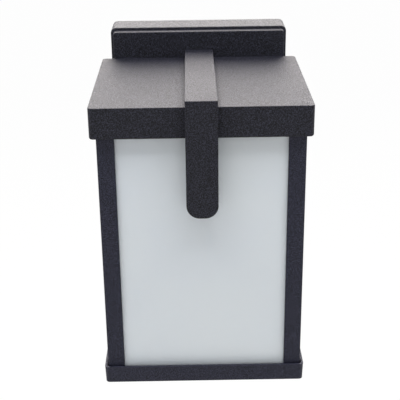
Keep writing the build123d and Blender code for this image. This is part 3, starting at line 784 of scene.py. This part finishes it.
@dataclass
class Roof:
    """Roof and arm strap with the screws and the hollow stud that join them to the canopy."""

    screw: Screw = PAN_HEAD
    stud_pitch_mm: float = 0.94
    stud_thread: float = 0.5
    stud_bore_mm: float = 6.0
    nut_corners: int = 6
    nut_hole_sides: int = 30
    nut_chamfer_mm: float = 0.45

    def build(self) -> None:
        """Draws the screws, the hollow stud and its nuts."""
        draw_screws("strap_screws", self.screw)
        draw_screws("roof_screws", self.screw)
        self.build_nuts(self.build_stud())

    def build_stud(self) -> float:
        """Draws the hollow threaded stud.

        Returns:
            The radius over its thread, in metres.
        """
        low, high = (Vector(corner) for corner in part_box("wire_nipple"))
        crest = (high.x - low.x) / 2.0
        pitch = self.stud_pitch_mm * MM
        stud = bmesh.new()
        bore = self.stud_bore_mm / 2.0 * MM
        coil(stud, crest, crest - self.stud_thread * pitch, pitch, low.y, high.y, bore=bore)
        rod = bmesh.new()
        lay_down = Matrix.Translation(((low.x + high.x) / 2.0, 0.0, (low.z + high.z) / 2.0))
        merge(rod, stud, lay_down @ Matrix.Rotation(-math.pi / 2.0, 4, "X"))
        Piece("wire_nipple_threaded", "zinc_steel", "fixture", ZINC, ("wire_nipple",)).make(rod)
        return crest

    def build_nuts(self, bore: float) -> None:
        """Draws the hexagon nuts on the stud, with their outer edges taken off.

        Args:
            bore: Radius of the hole in each nut, in metres.
        """
        nuts = bmesh.new()
        for seat in seats("nipple_nuts", axis=1):
            one = bmesh.new()
            bmesh.ops.create_circle(one, segments=self.nut_corners, radius=seat.radius)
            bmesh.ops.create_circle(one, segments=self.nut_hole_sides, radius=bore)
            bmesh.ops.bridge_loops(one, edges=one.edges[:])
            ring = bmesh.ops.extrude_face_region(one, geom=one.faces[:])["geom"]
            bmesh.ops.translate(one, verts=[v for v in ring if isinstance(v, bmesh.types.BMVert)],
                                vec=(0, 0, -seat.length))
            outer = [e for e in one.edges if min(v.co.xy.length for v in e.verts) > bore + WELD
                     and abs(e.verts[0].co.z - e.verts[1].co.z) < WELD]
            bmesh.ops.bevel(one, geom=outer, offset=self.nut_chamfer_mm * MM, offset_type="OFFSET",
                            segments=1, affect="EDGES", profile=0.5, material=-1)
            merge(nuts, one, seat.stand())
        Piece("nipple_nuts_hex", "zinc_steel", "fixture", ZINC, ("nipple_nuts",)).make(nuts)

    def dress(self) -> None:
        """Finishes the roof and the strap."""
        dress(CAST_COAT, ["roof", "arm_strap"])


@dataclass
class Cage:
    """Posts, pan, ring, rivets and the screws that hang the cage in the roof."""

    screw: Screw = PAN_HEAD

    def build(self) -> None:
        """Draws the screws under the pan."""
        draw_screws("pan_screws", self.screw)

    def dress(self) -> None:
        """Finishes the sheet pieces."""
        posts = [f"{end}_{side}_post" for end in ("front", "rear") for side in ("left", "right")]
        dress(SHEET_COAT, posts + ["bottom_frame", "rear_panel", "cage_rivets"])
        dress(ZINC, ["top_pan"])


@dataclass
class Glazing:
    """Etched panes and the spring clips behind them."""

    strip_mm: float = 0.8
    bend_mm: float = 1.6
    bend_parts: int = 4
    flare_mm: float = 1.5
    flare_knee: float = 0.35
    rivet_mm: float = 3.4
    rivet_place: float = 0.62
    rivet_height: float = 0.5

    def build(self) -> None:
        """Draws each clip as a bent strip with a flared foot and a round-headed rivet."""
        low, high = (Vector(corner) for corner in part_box("glass_clips"))
        centre = (low + high) / 2.0
        clips = bmesh.new()
        for points in loose_solids("glass_clips"):
            near = Vector([min(p[i] for p in points) for i in range(3)])
            far = Vector([max(p[i] for p in points) for i in range(3)])
            size = far - near
            middle = (near + far) / 2.0
            out = middle - centre
            along = 0 if size.x < size.y else 1
            outward = Vector((0.0, 0.0, 0.0))
            outward[along] = math.copysign(1.0, out[along])
            corner = middle + outward * size[along] / 2.0
            corner.z = far.z
            across = outward.cross(Vector((0.0, 0.0, 1.0)))
            turn = Matrix((across, -outward, Vector((0.0, 0.0, 1.0)))).transposed().to_4x4()
            clip = self.draw(size[1 - along], size[along], size.z)
            merge(clips, clip, Matrix.Translation(corner) @ turn)
        Piece("glass_clips_sprung", "spring_steel", "fixture", SPRING, ("glass_clips",)).make(clips)

    def draw(self, width: float, foot: float, leg: float) -> bmesh.types.BMesh:
        """Draws one clip in the corner between pan and pane, the pane at y 0 and the pan at z 0.

        Args:
            width: Width of the strip, in metres.
            foot: Length of the part under the pan, in metres.
            leg: Length of the part behind the pane, in metres.

        Returns:
            The mesh of the clip.
        """
        bm = bmesh.new()
        strip, bend, flare = (v * MM for v in (self.strip_mm, self.bend_mm, self.flare_mm))
        path = [(foot, 0.0)]
        for part in range(self.bend_parts + 1):
            angle = math.pi / 2.0 * part / self.bend_parts
            path.append((bend * (1.0 - math.sin(angle)), -bend * (1.0 - math.cos(angle))))
        path += [(0.0, -leg + 2.0 * flare), (self.flare_knee * flare, -leg + flare), (flare, -leg)]
        line = [bm.verts.new((-width / 2.0, y, z)) for y, z in path]
        edges = [bm.edges.new(pair) for pair in zip(line, line[1:])]
        swept = bmesh.ops.extrude_edge_only(bm, edges=edges)["geom"]
        bmesh.ops.translate(bm, verts=[v for v in swept if isinstance(v, bmesh.types.BMVert)],
                            vec=(width, 0, 0))
        bmesh.ops.recalc_face_normals(bm, faces=bm.faces[:])
        if sum(face.normal.z for face in bm.faces) < 0.0:
            bmesh.ops.reverse_faces(bm, faces=bm.faces[:])
        bmesh.ops.solidify(bm, geom=bm.faces[:], thickness=strip)
        radius = self.rivet_mm / 2.0 * MM
        head = bmesh.new()
        bmesh.ops.create_uvsphere(head, u_segments=20, v_segments=10, radius=radius)
        bmesh.ops.scale(head, vec=(1.0, 1.0, self.rivet_height), verts=head.verts[:])
        merge(bm, head, Matrix.Translation((0.0, foot * self.rivet_place, -strip)))
        return bm

    def dress(self) -> None:
        """Finishes the panes."""
        dress(ETCHED_PANE, ["front_glass", "left_glass", "right_glass"])


@dataclass
class Tray:
    """Drop-off tray with its threaded studs and knurled nuts."""

    pitch_mm: float = 0.7
    shank_mm: float = 4.0
    head_mm: float = 1.6
    head_edge_mm: float = 0.3

    def build(self) -> None:
        """Draws the studs with their threads."""
        pitch, head, edge = (v * MM for v in (self.pitch_mm, self.head_mm, self.head_edge_mm))
        shank = self.shank_mm / 2.0 * MM
        root = shank - THREAD_DEPTH * pitch
        bm = bmesh.new()
        for seat in seats("tray_studs"):
            one = bmesh.new()
            lathe(one, [(0.0, -head), (seat.radius, -head), (seat.radius, -edge),
                        (seat.radius - edge, 0.0), (0.0, 0.0)])
            coil(one, shank, root, pitch, -seat.length, -head + pitch, steps=20, rounding=1)
            merge(bm, one, seat.stand())
        Piece("tray_studs_threaded", "zinc_steel", "fixture", ZINC, ("tray_studs",)).make(bm)

    def dress(self) -> None:
        """Finishes the tray and its nuts."""
        dress(RIM_COAT, ["tray"])
        dress(BLACK_OXIDE, ["left_thumb_nut", "right_thumb_nut"])


@dataclass
class Lampholder:
    """Ceramic holder with its shell, contact and screws."""

    screw: Screw = Screw(1.8, 3.2, 0.5, Drive.CROSS)

    def build(self) -> None:
        """Draws the two screws that hold the ceramic body."""
        draw_screws("lampholder_screws", self.screw)

    def dress(self) -> None:
        """Finishes ceramic, shell and contact."""
        dress(PORCELAIN, ["lampholder"])
        dress(DRAWN_ALUMINIUM, ["screw_shell"])
        dress(BRASS, ["centre_contact"])


@dataclass
class Lamp:
    """Screw-in lamp: globe, threaded cap, insulator and tip."""

    pitch_mm: float = 25.4 / 7.0
    thread_depth_mm: float = 0.62
    plain_mm: float = 2.2
    shoulder_mm: float = 0.5
    shoulder_drop: float = 0.6
    crown_share: float = 0.78
    skirt_shares: tuple[float, float] = (0.99, 0.97)

    def build(self) -> None:
        """Draws the cap with its rolled thread."""
        low, high = (Vector(corner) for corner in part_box("lamp_cap"))
        crest = (high.x - low.x) / 2.0
        root = crest - self.thread_depth_mm * MM
        height = high.z - low.z
        plain = self.plain_mm * MM
        one = bmesh.new()
        coil(one, crest, root, self.pitch_mm * MM, -height + plain / 2.0, -plain / 2.0, steps=48, rounding=4)
        lathe(one, [(0.0, -2.0 * plain), (root, -2.0 * plain), (root, -plain),
                    (root - self.shoulder_mm * MM, -self.shoulder_drop * plain),
                    (root * self.crown_share, 0.0), (0.0, 0.0)])
        outside, inside = (root * share for share in self.skirt_shares)
        skirt = -height + 2.0 * plain
        lathe(one, [(outside, -height), (root, skirt), (inside, skirt), (inside, -height),
                    (outside, -height)])
        middle = (low + high) / 2.0
        bm = bmesh.new()
        merge(bm, one, Matrix.Translation((middle.x, middle.y, high.z)))
        Piece("lamp_cap_threaded", "shell_aluminium", "lamp", DRAWN_ALUMINIUM, ("lamp_cap",)).make(bm)

    def dress(self) -> None:
        """Finishes globe, insulator and tip."""
        dress(BULB_GLASS, ["lamp_globe"])
        dress(VITRITE, ["lamp_insulator"])
        dress(BRASS, ["lamp_contact"])


@dataclass(frozen=True)
class Softbox:
    """A rectangular soft lamp aimed at a point, in metres and watts."""

    name: str
    place: tuple[float, float, float]
    aim: tuple[float, float, float]
    width: float
    height: float
    power: float
    colour_hex: str

    def build(self) -> None:
        """Adds the lamp."""
        light = bpy.data.lights.new(self.name, "AREA")
        light.shape = "RECTANGLE"
        light.size = self.width
        light.size_y = self.height
        light.energy = self.power
        light.color = srgb(self.colour_hex)[:3]
        lamp = bpy.data.objects.new(self.name, light)
        lamp.location = self.place
        lamp.rotation_euler = (Vector(self.aim) - Vector(self.place)).to_track_quat("-Z", "Y").to_euler()
        lamp.visible_camera = False
        bpy.context.scene.collection.objects.link(lamp)


@dataclass
class Studio:
    """White floor and world, soft lamps and the photograph's camera, in metres where no unit is named."""

    floor_z: float = -0.9
    floor_size: float = 14.0
    floor_hex: str = "D6D6D4"
    floor_glow: float = 0.98
    white_hex: str = "FFFFFF"
    sky_hex: str = "F6FAFF"
    ambient: float = 0.45
    camera_mm: tuple[float, float, float] = (-7.2, -843.5, 271.8)
    yaw_deg: float = 0.469
    pitch_deg: float = 22.816
    roll_deg: float = -0.722
    lens_mm: float = 86.32
    sensor_mm: float = 36.0
    lamps: list[Softbox] = field(default_factory=lambda: [
        Softbox("key_softbox", (0.0, -0.4, 1.1), (0.0, -0.17, -0.05), 1.6, 0.5, 19.0, "F8FBFF"),
        Softbox("back_softbox", (0.0, 1.3, 1.25), (0.0, -0.1, 0.05), 2.6, 2.2, 104.0, "FFF8F4"),
        Softbox("left_card", (-0.8, -0.45, -0.8), (0.0, -0.17, -0.05), 0.4, 1.0, 2.6, "FFFFFF"),
        Softbox("right_card", (0.8, -0.45, -0.8), (0.0, -0.17, -0.05), 0.4, 1.0, 2.1, "FFFFFF"),
    ])

    def build(self) -> None:
        """Adds floor, world, lamps and camera."""
        self.build_floor()
        self.build_world()
        for lamp in self.lamps:
            lamp.build()
        self.build_camera()
        bpy.context.scene.view_settings.view_transform = "Standard"

    def seen_rays(self, tree: bpy.types.NodeTree) -> bpy.types.NodeSocket:
        """Picks out the rays that show the background: to the eye, off a gloss and through glass.

        Args:
            tree: Node tree of the floor or the world.

        Returns:
            A socket that is 1 for such a ray and 0 for one that only lights.
        """
        path = add_node(tree, "ShaderNodeLightPath")
        direct = add_node(tree, "ShaderNodeMath", {"operation": "MAXIMUM"}, {
            0: path.outputs["Is Camera Ray"], 1: path.outputs["Is Glossy Ray"]})
        seen = add_node(tree, "ShaderNodeMath", {"operation": "MAXIMUM"}, {
            0: direct.outputs["Value"], 1: path.outputs["Is Transmission Ray"]})
        return seen.outputs["Value"]

    def build_floor(self) -> None:
        """Lays a pale floor that looks white and still takes a shadow."""
        bm = bmesh.new()
        bmesh.ops.create_grid(bm, x_segments=1, y_segments=1, size=self.floor_size / 2.0)
        bmesh.ops.translate(bm, verts=bm.verts[:], vec=(0, 0, self.floor_z))
        mesh = bpy.data.meshes.new("floor")
        bm.to_mesh(mesh)
        bm.free()
        paint = bpy.data.materials.new("White painted floor")
        paint.use_nodes = True
        tree = paint.node_tree
        tree.nodes.clear()
        matt = add_node(tree, "ShaderNodeBsdfDiffuse", inputs={"Color": srgb(self.floor_hex)})
        glow = add_node(tree, "ShaderNodeEmission", inputs={"Color": srgb(self.white_hex), "Strength": 1.0})
        seen = add_node(tree, "ShaderNodeMath", {"operation": "MULTIPLY"}, {
            0: self.seen_rays(tree), 1: self.floor_glow})
        mixed = add_node(tree, "ShaderNodeMixShader", inputs={
            "Fac": seen.outputs["Value"], 1: matt.outputs["BSDF"], 2: glow.outputs["Emission"]})
        add_node(tree, "ShaderNodeOutputMaterial", inputs={"Surface": mixed.outputs["Shader"]})
        mesh.materials.append(paint)
        floor = bpy.data.objects.new("floor", mesh)
        bpy.context.scene.collection.objects.link(floor)

    def build_world(self) -> None:
        """Sets a world that is white to the eye, in glass and in metal, and soft as a light."""
        world = bpy.data.worlds.new("white studio")
        bpy.context.scene.world = world
        world.use_nodes = True
        tree = world.node_tree
        tree.nodes.clear()
        soft = add_node(tree, "ShaderNodeBackground", inputs={
            "Color": srgb(self.sky_hex), "Strength": self.ambient})
        white = add_node(tree, "ShaderNodeBackground", inputs={
            "Color": srgb(self.white_hex), "Strength": 1.0})
        mixed = add_node(tree, "ShaderNodeMixShader", inputs={
            "Fac": self.seen_rays(tree), 1: soft.outputs["Background"], 2: white.outputs["Background"]})
        add_node(tree, "ShaderNodeOutputWorld", inputs={"Surface": mixed.outputs["Shader"]})

    def build_camera(self) -> None:
        """Places the camera where the photograph was taken from."""
        yaw, pitch, roll = (math.radians(v) for v in (self.yaw_deg, self.pitch_deg, self.roll_deg))
        ahead = Vector((math.sin(yaw) * math.cos(pitch), math.cos(yaw) * math.cos(pitch), -math.sin(pitch)))
        level = Vector((math.cos(yaw), -math.sin(yaw), 0.0))
        upright = level.cross(ahead)
        right = level * math.cos(roll) + upright * math.sin(roll)
        up = upright * math.cos(roll) - level * math.sin(roll)
        data = bpy.data.cameras.new("photo_camera")
        data.sensor_width = self.sensor_mm
        data.lens = self.lens_mm
        camera = bpy.data.objects.new("photo_camera", data)
        turn = Matrix((right, up, -ahead)).transposed().to_4x4()
        camera.matrix_world = Matrix.Translation(Vector(self.camera_mm) * MM) @ turn
        bpy.context.scene.collection.objects.link(camera)
        bpy.context.scene.camera = camera


def main() -> None:
    """Builds and dresses the lantern piece by piece and sets up the studio."""
    logging.basicConfig(level=logging.INFO, format="%(name)s %(message)s")
    for assembly in (Canopy(), Roof(), Cage(), Glazing(), Tray(), Lampholder(), Lamp()):
        LOG.info("%s", type(assembly).__name__)
        assembly.build()
        assembly.dress()
    Studio().build()


if __name__ == "__main__":
    main()
